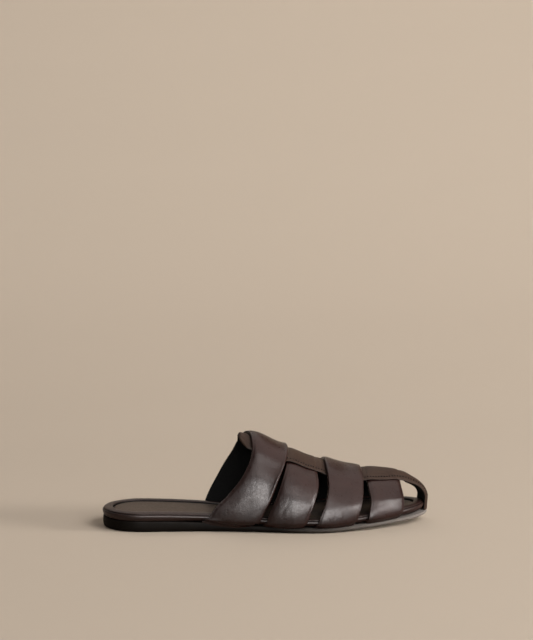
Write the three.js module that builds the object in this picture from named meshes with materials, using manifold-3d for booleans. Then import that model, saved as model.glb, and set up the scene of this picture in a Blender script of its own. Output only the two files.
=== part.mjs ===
// Flat open-heeled mule for the right foot: padded bands over a footbed on a thin flat sole.
// Millimetres. x runs from the back of the heel to the toe, y to the inner side of the foot, z up.
import * as THREE from "three";
import Module from "manifold-3d";

// Driving sizes
const LENGTH = 255;
const BALL_WIDTH = 83;
const INSTEP_HEIGHT = 65;
const HEEL_THICK = 8.5;
const FOOTBED_THICK = 6.3;
const TOE_SPRING = 5.7;
const GAP = 0.3;
const BAND_THICK = 4;
const HEM_RIM = 2.4;
const LONG_BAND_THICK = 3.2;
const LONG_BAND_EDGE = 1.7;
const LONG_BAND_WIDTH = 34;

// Sizes that follow from them
const BALL_HALF = BALL_WIDTH / 2;
const HEEL_ROUND = 0.122 * LENGTH;
const TOE_ROUND = 0.216 * LENGTH;
const TOE_SWING = 0.031 * LENGTH;
const SWING_FROM = 0.51 * LENGTH;
const SPRING_FROM = 0.647 * LENGTH;
const WIDEST = 0.53 * FOOTBED_THICK;
const RIM = 0.036 * LENGTH;
const RECESS = 1.8;
const INSOLE_THICK = 0.9;
const SIDE_BULGE = 0.2;
const HEM_TUCK = 3;
const HEM_GIRTH = 138;
const FUSE = 0.7;
const CAP_BACK = 0.914 * LENGTH;
const CAP_FRONT = 0.9935 * LENGTH;
const CAP_HEIGHT = 0.07 * LENGTH;
const TOE_RADIUS = 0.0725 * LENGTH;
const INNER_SLANT = 0.031 * LENGTH;

// How finely the forms are divided
const OUTLINE_STEPS = 44;
const BAND_STEPS = 36;
const LONG_STEPS = 34;
const CAP_STEPS = 9;

// Half widths of the sole before its ends are rounded, along in lengths, the rest in ball halves
const SOLE_PLAN = [
  { along: 0.0, outer: 0.699, inner: 0.687 },
  { along: 0.122, outer: 0.699, inner: 0.687 },
  { along: 0.275, outer: 0.699, inner: 0.607 },
  { along: 0.373, outer: 0.735, inner: 0.549 },
  { along: 0.49, outer: 0.843, inner: 0.639 },
  { along: 0.588, outer: 0.969, inner: 0.831 },
  { along: 0.659, outer: 1.019, inner: 0.93 },
  { along: 0.718, outer: 0.993, inner: 0.954 },
  { along: 0.784, outer: 0.896, inner: 0.93 },
  { along: 0.882, outer: 0.771, inner: 0.867 },
  { along: 1.0, outer: 0.735, inner: 0.771 },
];

// Thickness of the sole in heel thicknesses, how far the footbed stands in from its edge, and how much its
// side is rolled under
const SOLE_DEPTH = [
  { along: 0.0, thick: 1.0, inset: -0.3, roll: 0.3 },
  { along: 0.176, thick: 0.967, inset: -0.3, roll: 0.3 },
  { along: 0.25, thick: 0.91, inset: -0.2, roll: 0.55 },
  { along: 0.314, thick: 0.835, inset: 0, roll: 1 },
  { along: 0.431, thick: 0.635, inset: 0.6, roll: 1 },
  { along: 0.549, thick: 0.518, inset: 1.2, roll: 1 },
  { along: 0.706, thick: 0.47, inset: 1.5, roll: 1 },
  { along: 0.93, thick: 0.434, inset: 1.7, roll: 1 },
  { along: 1.0, thick: 0.424, inset: 3.8, roll: 1 },
];

// Top line of the foot form: height in instep heights, side shift in ball halves, fullness of the section
const CREST = [
  { along: 0.33, height: 1.146, shift: 0.0, full: 2.0 },
  { along: 0.408, height: 1.077, shift: 0.012, full: 2.0 },
  { along: 0.467, height: 1.012, shift: 0.024, full: 2.0 },
  { along: 0.514, height: 0.918, shift: 0.048, full: 2.0 },
  { along: 0.565, height: 0.824, shift: 0.072, full: 2.0 },
  { along: 0.62, height: 0.722, shift: 0.096, full: 1.94 },
  { along: 0.675, height: 0.69, shift: 0.12, full: 1.88 },
  { along: 0.729, height: 0.618, shift: 0.133, full: 1.83 },
  { along: 0.784, height: 0.584, shift: 0.145, full: 1.79 },
  { along: 0.839, height: 0.55, shift: 0.157, full: 1.75 },
  { along: 0.89, height: 0.53, shift: 0.169, full: 1.75 },
  { along: 0.93, height: 0.52, shift: 0.176, full: 1.75 },
  { along: 1.0, height: 0.5, shift: 0.193, full: 1.75 },
];

// Side profile of the sole: how far in from its edge, and the share of its thickness
const SOLE_EDGE = [
  { inset: 1.0, rise: 0.0 },
  { inset: 0.3, rise: 0.16 },
  { inset: 0.0, rise: 0.42 },
  { inset: 0.1, rise: 0.72 },
  { inset: 0.9, rise: 1.0 },
];

// Rolled side of the footbed: how far in from its edge, and the share of its thickness
const FOOTBED_ROLL = [
  { inset: 4.2, rise: 0.0 },
  { inset: 2.0, rise: 0.14 },
  { inset: 0.6, rise: 0.34 },
  { inset: 0.0, rise: 0.56 },
  { inset: 0.4, rise: 0.78 },
  { inset: 1.4, rise: 0.93 },
  { inset: 3.0, rise: 1.0 },
];

// Back and front edge of each cross band in lengths; girth is degrees from the crest, inner side positive.
// A mirrored band lists one side, and its inner side slants back. Hang is how far its front hem sags, and
// rim its thickness in mm at the back and front edge on the crest.
const BANDS = {
  instep: { overLong: true, mirrored: false, hang: 2, rim: [2.6, 5], edges: [
    { girth: -150, back: 0.3, front: 0.445 },
    { girth: -100, back: 0.312, front: 0.462 },
    { girth: -84, back: 0.349, front: 0.486 },
    { girth: -72, back: 0.392, front: 0.508 },
    { girth: -56, back: 0.431, front: 0.527 },
    { girth: -36, back: 0.45, front: 0.547 },
    { girth: -16, back: 0.45, front: 0.555 },
    { girth: 6, back: 0.438, front: 0.552 },
    { girth: 24, back: 0.418, front: 0.543 },
    { girth: 44, back: 0.397, front: 0.522 },
    { girth: 66, back: 0.357, front: 0.492 },
    { girth: 86, back: 0.318, front: 0.456 },
    { girth: 100, back: 0.305, front: 0.442 },
    { girth: 150, back: 0.298, front: 0.435 },
  ] },
  waist: { overLong: false, mirrored: true, hang: 0.8, rim: [2.4, 2.4], edges: [
    { girth: 0, back: 0.56, front: 0.649 },
    { girth: 26, back: 0.557, front: 0.653 },
    { girth: 46, back: 0.546, front: 0.654 },
    { girth: 68, back: 0.525, front: 0.638 },
    { girth: 84, back: 0.502, front: 0.621 },
    { girth: 100, back: 0.49, front: 0.611 },
    { girth: 150, back: 0.484, front: 0.606 },
  ] },
  ball: { overLong: true, mirrored: true, hang: 0, rim: [3.5, 3.3], edges: [
    { girth: 0, back: 0.673, front: 0.789 },
    { girth: 24, back: 0.678, front: 0.792 },
    { girth: 46, back: 0.682, front: 0.791 },
    { girth: 66, back: 0.671, front: 0.784 },
    { girth: 84, back: 0.653, front: 0.771 },
    { girth: 100, back: 0.644, front: 0.763 },
    { girth: 150, back: 0.637, front: 0.757 },
  ] },
  toe: { overLong: false, mirrored: true, hang: 0, rim: [2.4, 2.4], edges: [
    { girth: 0, back: 0.804, front: 0.908 },
    { girth: 40, back: 0.808, front: 0.913 },
    { girth: 60, back: 0.812, front: 0.917 },
    { girth: 80, back: 0.806, front: 0.914 },
    { girth: 100, back: 0.801, front: 0.908 },
    { girth: 150, back: 0.796, front: 0.904 },
  ] },
};

// Reach of the long band to each side of the crest in half widths of its middle, along in lengths
const LONG_BAND = [
  { along: 0.414, outer: 0.3, inner: 0.3 },
  { along: 0.42, outer: 0.63, inner: 0.62 },
  { along: 0.432, outer: 0.91, inner: 0.88 },
  { along: 0.449, outer: 1.05, inner: 1.0 },
  { along: 0.57, outer: 1.2, inner: 1.0 },
  { along: 0.7, outer: 1.2, inner: 1.0 },
  { along: 0.8, outer: 1.1, inner: 0.98 },
  { along: 0.86, outer: 0.97, inner: 0.95 },
  { along: 0.91, outer: 0.68, inner: 0.9 },
  { along: 0.96, outer: 0.43, inner: 0.82 },
  { along: 1.0, outer: 0.28, inner: 0.76 },
];

// Section of a cross band, from the back edge to the front edge
const BAND_SECTION = [
  { across: 0.03, skin: 0 },
  { across: 0.2, skin: 0 },
  { across: 0.4, skin: 0 },
  { across: 0.6, skin: 0 },
  { across: 0.8, skin: 0 },
  { across: 0.97, skin: 0 },
  { across: 1.0, skin: 0.45 },
  { across: 0.965, skin: 0.9 },
  { across: 0.85, skin: 1 },
  { across: 0.62, skin: 1 },
  { across: 0.38, skin: 1 },
  { across: 0.15, skin: 1 },
  { across: 0.035, skin: 0.9 },
  { across: 0.0, skin: 0.45 },
];

// Section of the long band, from its outer edge (-1) to its inner edge (1)
const LONG_SECTION = [
  { across: -0.95, skin: 0 },
  { across: -0.5, skin: 0 },
  { across: 0, skin: 0 },
  { across: 0.5, skin: 0 },
  { across: 0.95, skin: 0 },
  { across: 1, skin: 0.5 },
  { across: 0.94, skin: 0.95 },
  { across: 0.66, skin: 1 },
  { across: 0.22, skin: 1 },
  { across: -0.22, skin: 1 },
  { across: -0.66, skin: 1 },
  { across: -0.94, skin: 0.95 },
  { across: -1, skin: 0.5 },
];

// Smooth value of one column of a table at a place along another column
function column(rows, key, place, value) {
  let i = 0;
  while (i < rows.length - 2 && place > rows[i + 1][key]) i++;
  const slope = (j) => {
    const before = rows[Math.max(j - 1, 0)];
    const after = rows[Math.min(j + 1, rows.length - 1)];
    return (after[value] - before[value]) / (after[key] - before[key]);
  };
  const from = rows[i];
  const to = rows[i + 1];
  const span = to[key] - from[key];
  const t = Math.min(Math.max((place - from[key]) / span, 0), 1);
  const rise = t * t * (3 - 2 * t);
  const lead = t * (1 - t) * (1 - t) * span * slope(i);
  const trail = t * t * (t - 1) * span * slope(i + 1);
  return from[value] + (to[value] - from[value]) * rise + lead + trail;
}

// Goes smoothly from 0 to 1 between two places
function ease(from, to, place) {
  const t = Math.min(Math.max((place - from) / (to - from), 0), 1);
  return t * t * (3 - 2 * t);
}

// Sideways shift of the middle line toward the big toe
function swing(x) {
  return TOE_SWING * Math.max((x - SWING_FROM) / (LENGTH - SWING_FROM), 0) ** 1.5;
}

// Share of the width left by the rounded heel and toe
function rounding(x) {
  const heel = Math.max(1 - x / HEEL_ROUND, 0);
  const toe = Math.max((x - LENGTH + TOE_ROUND) / TOE_ROUND, 0);
  return Math.sqrt(Math.max(1 - heel * heel, 0)) * Math.sqrt(Math.max(1 - toe * toe, 0));
}

// Edge of the sole in plan; side is -1 for the outer side and 1 for the inner side
function soleEdge(x, side) {
  const half = column(SOLE_PLAN, "along", x / LENGTH, side < 0 ? "outer" : "inner");
  return swing(x) + side * BALL_HALF * half * rounding(x);
}

// Underside of the sole, flat to the ball and sprung up to the toe
function soleBottom(x) {
  return TOE_SPRING * Math.max((x - SPRING_FROM) / (LENGTH - SPRING_FROM), 0) ** 1.5;
}

function soleThick(x) {
  return HEEL_THICK * column(SOLE_DEPTH, "along", x / LENGTH, "thick");
}

function soleTop(x) {
  return soleBottom(x) + soleThick(x);
}

function footbedInset(x) {
  return column(SOLE_DEPTH, "along", x / LENGTH, "inset");
}

// Plan of the sole as a ring, outer side from heel to toe and back along the inner side
function planRing() {
  const ring = [];
  for (const side of [-1, 1]) {
    for (let i = 0; i < OUTLINE_STEPS; i++) {
      const step = side < 0 ? i : OUTLINE_STEPS - i;
      const x = LENGTH / 2 * (1 - Math.cos(Math.PI * step / OUTLINE_STEPS));
      ring.push(new THREE.Vector2(x, soleEdge(x, side)));
    }
  }
  return ring;
}

const PLAN = planRing();

// The ring drawn in from its edge by a distance that may change along the foot
function insetRing(inset) {
  return PLAN.map((point, i) => {
    const before = PLAN[(i + PLAN.length - 1) % PLAN.length];
    const after = PLAN[(i + 1) % PLAN.length];
    const along = after.clone().sub(before).normalize();
    const inward = new THREE.Vector2(-along.y, along.x);
    return point.clone().addScaledVector(inward, inset(point.x));
  });
}

// Closed solid through rings stacked upward, capped by strips between its two sides
function ringSolid(rings) {
  const count = rings[0].length;
  const points = [];
  const faces = [];
  for (const ring of rings) {
    for (const point of ring) points.push(point.x, point.y, point.z);
  }
  for (let r = 0; r + 1 < rings.length; r++) {
    for (let i = 0; i < count; i++) {
      const low = r * count + i;
      const lowNext = r * count + (i + 1) % count;
      faces.push(low, lowNext, lowNext + count, low, lowNext + count, low + count);
    }
  }
  const top = (rings.length - 1) * count;
  for (let i = 0; i < count / 2; i++) {
    const other = (count - i) % count;
    const otherNext = count - i - 1;
    const flat = [[i, other, otherNext], [i, otherNext, i + 1]];
    for (const [a, b, c] of flat) {
      if (a === b || b === c || a === c) continue;
      faces.push(a, b, c);
      faces.push(top + a, top + c, top + b);
    }
  }
  return solid(points, faces);
}

// Closed solid through sections along a path, capped by ladders between inner and outer skin
function sweptSolid(sections) {
  const count = sections[0].length;
  const points = [];
  const faces = [];
  for (const section of sections) {
    for (const point of section) points.push(point.x, point.y, point.z);
  }
  for (let s = 0; s + 1 < sections.length; s++) {
    for (let i = 0; i < count; i++) {
      const here = s * count + i;
      const next = s * count + (i + 1) % count;
      faces.push(here, next, next + count, here, next + count, here + count);
    }
  }
  const end = (sections.length - 1) * count;
  for (let low = 0, high = count - 1; low + 1 < high; low++, high--) {
    faces.push(low, high, low + 1, end + low, end + low + 1, end + high);
    if (low + 2 > high - 1) continue;
    faces.push(low + 1, high, high - 1, end + low + 1, end + high - 1, end + high);
  }
  return solid(points, faces);
}

const wasm = await Module();
wasm.setup();

// Joins points and faces into one solid, turned to face outward
function solid(points, faces) {
  let volume = 0;
  const corner = [new THREE.Vector3(), new THREE.Vector3(), new THREE.Vector3()];
  for (let f = 0; f < faces.length; f += 3) {
    corner.forEach((point, k) => point.fromArray(points, 3 * faces[f + k]));
    volume += corner[0].dot(corner[1].cross(corner[2]));
  }
  const triVerts = Uint32Array.from(faces);
  if (volume < 0) {
    for (let f = 0; f < triVerts.length; f += 3) {
      [triVerts[f + 1], triVerts[f + 2]] = [triVerts[f + 2], triVerts[f + 1]];
    }
  }
  const mesh = new wasm.Mesh({ numProp: 3, vertProperties: Float32Array.from(points), triVerts });
  return new wasm.Manifold(mesh);
}

// The sole; grown by an extra clearance it also trims the hems of the bands
function outsoleSolid(extra) {
  return ringSolid(SOLE_EDGE.map((row, r) => {
    const lift = r === 0 ? -extra : r === SOLE_EDGE.length - 1 ? extra : 0;
    return insetRing(() => row.inset - extra).map((point) => {
      const x = Math.min(Math.max(point.x, 0), LENGTH);
      return new THREE.Vector3(point.x, point.y, soleBottom(x) + soleThick(x) * row.rise + lift);
    });
  }));
}

// One ring of the footbed: inset from its own edge, height over the sole, and share of the inset that is roll
function footbedRing(inset, height, rolled = 0) {
  const share = (x) => 1 - rolled + rolled * column(SOLE_DEPTH, "along", x / LENGTH, "roll");
  return insetRing((x) => footbedInset(x) + inset * share(x)).map((point) => {
    const x = Math.min(Math.max(point.x, 0), LENGTH);
    return new THREE.Vector3(point.x, point.y, soleTop(x) + GAP + height);
  });
}

// The footbed; grown by an extra clearance it also trims the hems of the bands
function footbedSolid(extra) {
  const rings = FOOTBED_ROLL.map((row, r) => {
    const lift = r === 0 ? -extra : r === FOOTBED_ROLL.length - 1 ? extra : 0;
    return footbedRing(row.inset - extra, row.rise * FOOTBED_THICK + lift, row.rise < 0.5 ? 1 : 0);
  });
  if (extra === 0) {
    rings.push(footbedRing(RIM - 0.5, FOOTBED_THICK));
    rings.push(footbedRing(RIM, FOOTBED_THICK - RECESS));
  }
  return ringSolid(rings);
}

function insoleSolid() {
  const seat = FOOTBED_THICK - RECESS + GAP;
  return ringSolid([
    footbedRing(RIM + GAP + 0.3, seat),
    footbedRing(RIM + GAP, seat + 0.5 * INSOLE_THICK),
    footbedRing(RIM + GAP + 0.5, seat + INSOLE_THICK),
  ]);
}

// Height of the top line of the foot form, rounded down over the toe
function crestHeight(x) {
  const level = INSTEP_HEIGHT * column(CREST, "along", x / LENGTH, "height");
  const toe = Math.min(Math.max((x - CAP_BACK) / (CAP_FRONT - CAP_BACK), 0), 1);
  return CAP_HEIGHT + (level - CAP_HEIGHT) * Math.sqrt(1 - toe * toe);
}

function crestShift(x) {
  return BALL_HALF * column(CREST, "along", x / LENGTH, "shift");
}

// Half width of the foot form on one side of its top line
function formHalf(x, side) {
  const edge = soleEdge(x, side) - side * footbedInset(x);
  return side * (edge - crestShift(x)) + GAP + SIDE_BULGE;
}

// Point of the foot form at a place along it and a girth angle; below the widest line it turns in
function formPoint(x, girth) {
  const side = girth < 0 ? -1 : 1;
  const low = soleTop(x) + GAP;
  const widest = low + WIDEST;
  const power = 2 / column(CREST, "along", x / LENGTH, "full");
  const angle = THREE.MathUtils.degToRad(Math.min(Math.abs(girth), 90));
  const under = THREE.MathUtils.degToRad(Math.max(Math.abs(girth) - 90, 0) * 1.5);
  const out = formHalf(x, side) * Math.sin(angle) ** power - HEM_TUCK * (1 - Math.cos(under));
  const up = (crestHeight(x) - widest) * Math.max(Math.cos(angle), 0) ** power;
  return new THREE.Vector3(x, crestShift(x) + side * out, widest + up - WIDEST * Math.sin(under));
}

// Outward direction of the foot form
function formNormal(x, girth) {
  const step = 0.6;
  const along = formPoint(x + step, girth).sub(formPoint(x - step, girth));
  const around = formPoint(x, girth + step).sub(formPoint(x, girth - step));
  return along.cross(around).normalize();
}

// Reach of the long band to one side of the crest
function longHalf(x, side) {
  return 0.5 * LONG_BAND_WIDTH * column(LONG_BAND, "along", x / LENGTH, side < 0 ? "outer" : "inner");
}

// Thickness of a cross band over its own width, full in the middle and thinner toward the hems
function bandThick(band, across, girth) {
  const middle = 1 - (2 * across - 1) ** 2;
  const hem = 1 - 0.16 * ease(70, 130, Math.abs(girth));
  const crestRim = band.rim[0] + (band.rim[1] - band.rim[0]) * across;
  const rim = crestRim + (HEM_RIM - crestRim) * ease(50, 100, Math.abs(girth));
  return (rim + (BAND_THICK - rim) * middle ** 0.55) * hem;
}

// Thickness of the long band over its own width
function longThick(across) {
  return LONG_BAND_EDGE + (LONG_BAND_THICK - LONG_BAND_EDGE) * (1 - Math.min(across * across, 1));
}

// Rise of a cross band where it lies over the long band
function bandLift(x, girth) {
  const half = longHalf(x, girth);
  const out = Math.abs(formPoint(x, girth).y - crestShift(x));
  return (longThick(out / half) - FUSE) * (1 - ease(half, half + 7, out));
}

// Back or front edge of a cross band at a girth angle
function bandEdge(band, girth, edge) {
  if (!band.mirrored) return LENGTH * column(band.edges, "girth", girth, edge);
  return LENGTH * column(band.edges, "girth", Math.abs(girth), edge) - INNER_SLANT * ease(0, 60, girth);
}

// One cross band from hem to hem
function crossBand(band) {
  const sections = [];
  for (let i = 0; i <= BAND_STEPS; i++) {
    const girth = HEM_GIRTH * (2 * i / BAND_STEPS - 1);
    const back = bandEdge(band, girth, "back");
    const front = bandEdge(band, girth, "front");
    const sag = band.hang * ease(86, 118, Math.abs(girth));
    sections.push(BAND_SECTION.map((row) => {
      const x = back + (front - back) * row.across;
      const lift = band.overLong ? bandLift(x, girth) : 0;
      const height = lift + row.skin * bandThick(band, row.across, girth);
      const point = formPoint(x, girth).addScaledVector(formNormal(x, girth), height);
      point.z -= sag * row.skin * ease(0, 0.75, row.across);
      return point;
    }));
  }
  return sweptSolid(sections);
}

// Rise of the long band where it lies over the waist and toe bands
function longLift(x) {
  let lift = 0;
  for (const band of Object.values(BANDS)) {
    if (band.overLong) continue;
    const back = bandEdge(band, 0, "back");
    const front = bandEdge(band, 0, "front");
    const across = Math.min(Math.max((x - back) / (front - back), 0), 1);
    const share = ease(back - 8, back, x) * (1 - ease(front, front + 12, x));
    lift = Math.max(lift, (bandThick(band, across, 0) - FUSE) * share);
  }
  return lift;
}

// Path of the long band over the crest, around the toe and down to the sole
function longPath() {
  const path = [];
  const start = LENGTH * LONG_BAND[0].along;
  for (let i = 0; i < LONG_STEPS; i++) {
    path.push(start + (CAP_BACK - start) * i / LONG_STEPS);
  }
  for (let i = 0; i < CAP_STEPS; i++) {
    path.push(CAP_BACK + (CAP_FRONT - CAP_BACK) * Math.sin(0.5 * Math.PI * i / CAP_STEPS));
  }
  const places = path.map((x) => new THREE.Vector3(x, crestShift(x), crestHeight(x)));
  const floor = soleTop(CAP_FRONT) + GAP;
  for (const share of [0, 0.5, 1]) {
    const height = CAP_HEIGHT + (floor - CAP_HEIGHT) * share;
    places.push(new THREE.Vector3(CAP_FRONT - 0.8 * share, crestShift(CAP_FRONT), height));
  }
  return places;
}

// How far the foot form, grown by a lift, falls away to the side of its top line
function sideDrop(x, out, lift) {
  const half = formHalf(x, out < 0 ? -1 : 1) + lift;
  const full = column(CREST, "along", x / LENGTH, "full");
  const rise = crestHeight(x) - soleTop(x) - GAP - WIDEST + lift;
  return rise * (1 - (1 - Math.min(Math.abs(out) / half, 1) ** full) ** (1 / full));
}

// The long band from its rounded end behind the instep to the toe tip
function longBand() {
  const path = longPath();
  const sections = path.map((place, i) => {
    const before = path[Math.max(i - 1, 0)];
    const after = path[Math.min(i + 1, path.length - 1)];
    const along = after.clone().sub(before).setY(0).normalize();
    const outward = new THREE.Vector3(-along.z, 0, along.x);
    const curl = ease(CAP_BACK, CAP_FRONT - 2, place.x);
    const lift = longLift(place.x);
    return LONG_SECTION.map((row) => {
      const out = row.across * longHalf(place.x, row.across);
      const side = sideDrop(place.x, out, lift) * along.x;
      const fall = (1 - curl) * side + curl * out * out / (2 * TOE_RADIUS);
      const skin = row.skin * longThick(row.across) * (1 - 0.2 * curl);
      return place.clone().addScaledVector(outward, lift - fall + skin).setY(place.y + out);
    });
  });
  return sweptSolid(sections);
}

// All bands joined where they cross, trimmed clear of the sole and the footbed
function upperSolid() {
  let upper = longBand();
  for (const band of Object.values(BANDS)) upper = upper.add(crossBand(band));
  return upper.subtract(outsoleSolid(GAP)).subtract(footbedSolid(GAP));
}

const group = new THREE.Group();

// Adds one finished piece to the group
function addPiece(name, form, color, roughness) {
  const shape = form.getMesh();
  const geometry = new THREE.BufferGeometry();
  geometry.setAttribute("position", new THREE.BufferAttribute(shape.vertProperties, 3));
  geometry.setIndex(new THREE.BufferAttribute(shape.triVerts, 1));
  geometry.computeVertexNormals();
  const material = new THREE.MeshStandardMaterial({ color, roughness, metalness: 0 });
  material.name = name;
  const mesh = new THREE.Mesh(geometry, material);
  mesh.name = name;
  group.add(mesh);
}

addPiece("outsole", outsoleSolid(0), 0x35302c, 0.75);
addPiece("footbed", footbedSolid(0), 0x3a2a20, 0.5);
addPiece("insole", insoleSolid(), 0x5f5046, 0.6);
addPiece("upper", upperSolid(), 0x4a3223, 0.45);

// The middle of the footprint becomes the origin
const bounds = new THREE.Box3().setFromObject(group);
const middle = bounds.getCenter(new THREE.Vector3());
for (const mesh of group.children) mesh.geometry.translate(-middle.x, -middle.y, -bounds.min.z);

export default group;
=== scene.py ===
# Looks of the band mule: leather bands, footbed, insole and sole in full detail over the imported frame.
# The shoe's own sizes are in millimetres, with x from the back of the heel, y to the inner side and z up.
import math

import bmesh
import bpy
import numpy as np
from mathutils import Matrix, Vector


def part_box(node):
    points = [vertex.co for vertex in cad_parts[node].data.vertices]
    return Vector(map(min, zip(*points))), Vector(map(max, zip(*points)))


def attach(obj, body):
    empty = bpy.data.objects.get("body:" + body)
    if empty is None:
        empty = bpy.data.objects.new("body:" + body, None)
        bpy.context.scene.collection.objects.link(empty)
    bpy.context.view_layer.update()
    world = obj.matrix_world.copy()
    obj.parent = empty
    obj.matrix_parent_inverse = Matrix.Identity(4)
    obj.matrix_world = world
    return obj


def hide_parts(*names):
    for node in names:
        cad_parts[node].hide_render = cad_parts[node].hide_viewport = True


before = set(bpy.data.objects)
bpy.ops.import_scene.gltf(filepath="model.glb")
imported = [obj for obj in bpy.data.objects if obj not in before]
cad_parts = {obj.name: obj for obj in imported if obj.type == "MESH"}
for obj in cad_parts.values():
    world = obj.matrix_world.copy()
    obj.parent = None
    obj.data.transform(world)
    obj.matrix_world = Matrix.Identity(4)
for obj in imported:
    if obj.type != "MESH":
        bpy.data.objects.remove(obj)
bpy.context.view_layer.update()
sole_low, sole_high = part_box("outsole")

# Driving sizes
LENGTH = 255.0
BALL_HALF = 0.1627 * LENGTH
INSTEP_HEIGHT = 0.255 * LENGTH
HEEL_THICK = 8.5
FOOTBED_THICK = 6.3
TOE_SPRING = 5.7
GAP = 0.3
BAND_THICK = 4.0
HEM_RIM = 2.4
BAND_NOSE = 1.1
LONG_BAND_THICK = 3.2
LONG_BAND_EDGE = 1.7
EDGE_STAND_OFF = 0.9
LONG_BAND_WIDTH = 34.0
STITCH_PITCH = 2.2
STITCH_INSET = 2.6

# Sizes that follow from them
MM = (sole_high.x - sole_low.x) / LENGTH
HEEL_ROUND = 0.122 * LENGTH
TOE_ROUND = 0.216 * LENGTH
TOE_SWING = 0.031 * LENGTH
SWING_FROM = 0.51 * LENGTH
SPRING_FROM = 0.647 * LENGTH
WIDEST = 0.53 * FOOTBED_THICK
RIM = 0.032 * LENGTH
CAP_BACK = 0.914 * LENGTH
CAP_FRONT = 0.9935 * LENGTH
CAP_HEIGHT = 0.07 * LENGTH
TOE_RADIUS = 0.0725 * LENGTH
INNER_SLANT = 0.031 * LENGTH

# Finer sizes in mm: the recess and its panel, how far the sides bulge and the hems tuck in, how bands sink
# into and rise over each other, how hems rest on the sole, and the foot and stitch groove of the long band
RECESS = 1.8
INSOLE_THICK = 0.9
SIDE_BULGE = 0.2
HEM_TUCK = 3.0
FUSE = 0.25
SOLE_MARGIN = 0.2
HEM_REST = 0.15
LIFT_FADE = 7.0
LIFT_BEFORE = 8.0
LIFT_AFTER = 12.0
FOOT_LEAN = 0.8
CAP_MARGIN = 2.0
GROOVE_DEPTH = 0.2
GROOVE_WIDE = 0.8

# Shares: thickness lost by a band at its hem and by the long band over the toe, the blunt end and unevenness
# of the long band, how much of an edge is lined (on the long band, past its lining, a painted shadow), and
# the share of the skin that counts as the outer face
HEM_THIN = 0.16
CAP_THIN = 0.2
END_BLUNT = 0.1
LONG_WAVER = 0.4
BAND_LINED = 0.3
# The long band's edge is near-black up to this share: real lining low down, painted shadow under the edge
# above it
LONG_LINED_AND_SHADOW = 0.6
OUTER_SKIN = 0.9

# Powers: growth of the toe's swing and spring, fullness of a padded band, roundness of its edges, and how
# near its edge the long band stands off
TOE_GROWTH = 1.5
FULLNESS = 0.55
NOSE_POWER = 0.7
STAND_OFF_POWER = 6

# Girth in degrees from the crest: where a band ends and is widest, and how it then turns under
HEM_GIRTH = 138.0
WIDEST_GIRTH = 90.0
UNDER_TURN = 1.5

# Stretches of girth over which a band thins, takes the rim of its hem, slants and sags, and the share of its
# width over which it sags
THIN_GIRTH = (70, 130)
RIM_GIRTH = (50, 100)
SLANT_GIRTH = (0, 60)
SAG_GIRTH = (86, 118)
SAG_ACROSS = (0, 0.75)

# Millimetres around the foot form for one degree of girth, as the creases count it, and degrees of girth
# for a millimetre aside on the long band, as its unevenness counts it
GIRTH_MM = 0.82
ASIDE_GIRTH = 3.2

# How finely the forms are divided, and the bend in degrees past which an edge stays crisp
PLAN_STEPS = 800
OUTLINE_STEPS = 200
BAND_STEPS = 180
BAND_ACROSS = 38
LONG_STEPS = 230
CAP_STEPS = 44
FOOT_STEPS = 10
LONG_ACROSS = 36
NOSE_STEPS = 10
ROLL_DIVISION = 5
EDGE_DIVISION = 4
CRISP_BEND = 50.0

# Camera: angles in degrees, distance in mm, and the pixel where the back of the heel meets the floor
IMAGE_WIDTH = 533
IMAGE_HEIGHT = 640
CAMERA_YAW = -3.0
CAMERA_PITCH = 8.4
CAMERA_DISTANCE = 2000.0
MM_PER_PIXEL = 0.7825
HEEL_PIXEL = (103.2, 524.6)
SENSOR_WIDTH = 24

# Half widths of the sole before its ends are rounded, along in lengths, the rest in ball halves
SOLE_PLAN = [
    {"along": 0.0, "outer": 0.699, "inner": 0.687},
    {"along": 0.122, "outer": 0.699, "inner": 0.687},
    {"along": 0.275, "outer": 0.699, "inner": 0.607},
    {"along": 0.373, "outer": 0.735, "inner": 0.549},
    {"along": 0.49, "outer": 0.843, "inner": 0.639},
    {"along": 0.588, "outer": 0.969, "inner": 0.831},
    {"along": 0.659, "outer": 1.019, "inner": 0.93},
    {"along": 0.718, "outer": 0.993, "inner": 0.954},
    {"along": 0.784, "outer": 0.896, "inner": 0.93},
    {"along": 0.882, "outer": 0.771, "inner": 0.867},
    {"along": 1.0, "outer": 0.735, "inner": 0.771},
]

# Thickness of the sole in heel thicknesses, how far the footbed stands in, how much its side is rolled under,
# the bevel of the sole's edges, and the share of the sole's thickness that shows under the footbed
SOLE_DEPTH = [
    {"along": 0.0, "thick": 1.0, "inset": -0.3, "roll": 0.3, "bevel": 0.4, "shown": 1.0},
    {"along": 0.176, "thick": 0.967, "inset": -0.3, "roll": 0.3, "bevel": 0.4, "shown": 1.0},
    {"along": 0.25, "thick": 0.91, "inset": -0.2, "roll": 0.55, "bevel": 0.5, "shown": 1.0},
    {"along": 0.314, "thick": 0.835, "inset": 0.0, "roll": 1.0, "bevel": 0.6, "shown": 1.0},
    {"along": 0.431, "thick": 0.635, "inset": 0.6, "roll": 1.0, "bevel": 0.8, "shown": 1.0},
    {"along": 0.549, "thick": 0.518, "inset": 1.2, "roll": 1.0, "bevel": 1.1, "shown": 1.0},
    {"along": 0.706, "thick": 0.47, "inset": 1.5, "roll": 1.0, "bevel": 1.5, "shown": 1.0},
    {"along": 0.86, "thick": 0.445, "inset": 1.6, "roll": 1.0, "bevel": 1.5, "shown": 0.98},
    {"along": 0.93, "thick": 0.434, "inset": 1.7, "roll": 1.0, "bevel": 1.3, "shown": 0.82},
    {"along": 1.0, "thick": 0.424, "inset": 2.5, "roll": 1.0, "bevel": 0.9, "shown": 0.74},
]

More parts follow.
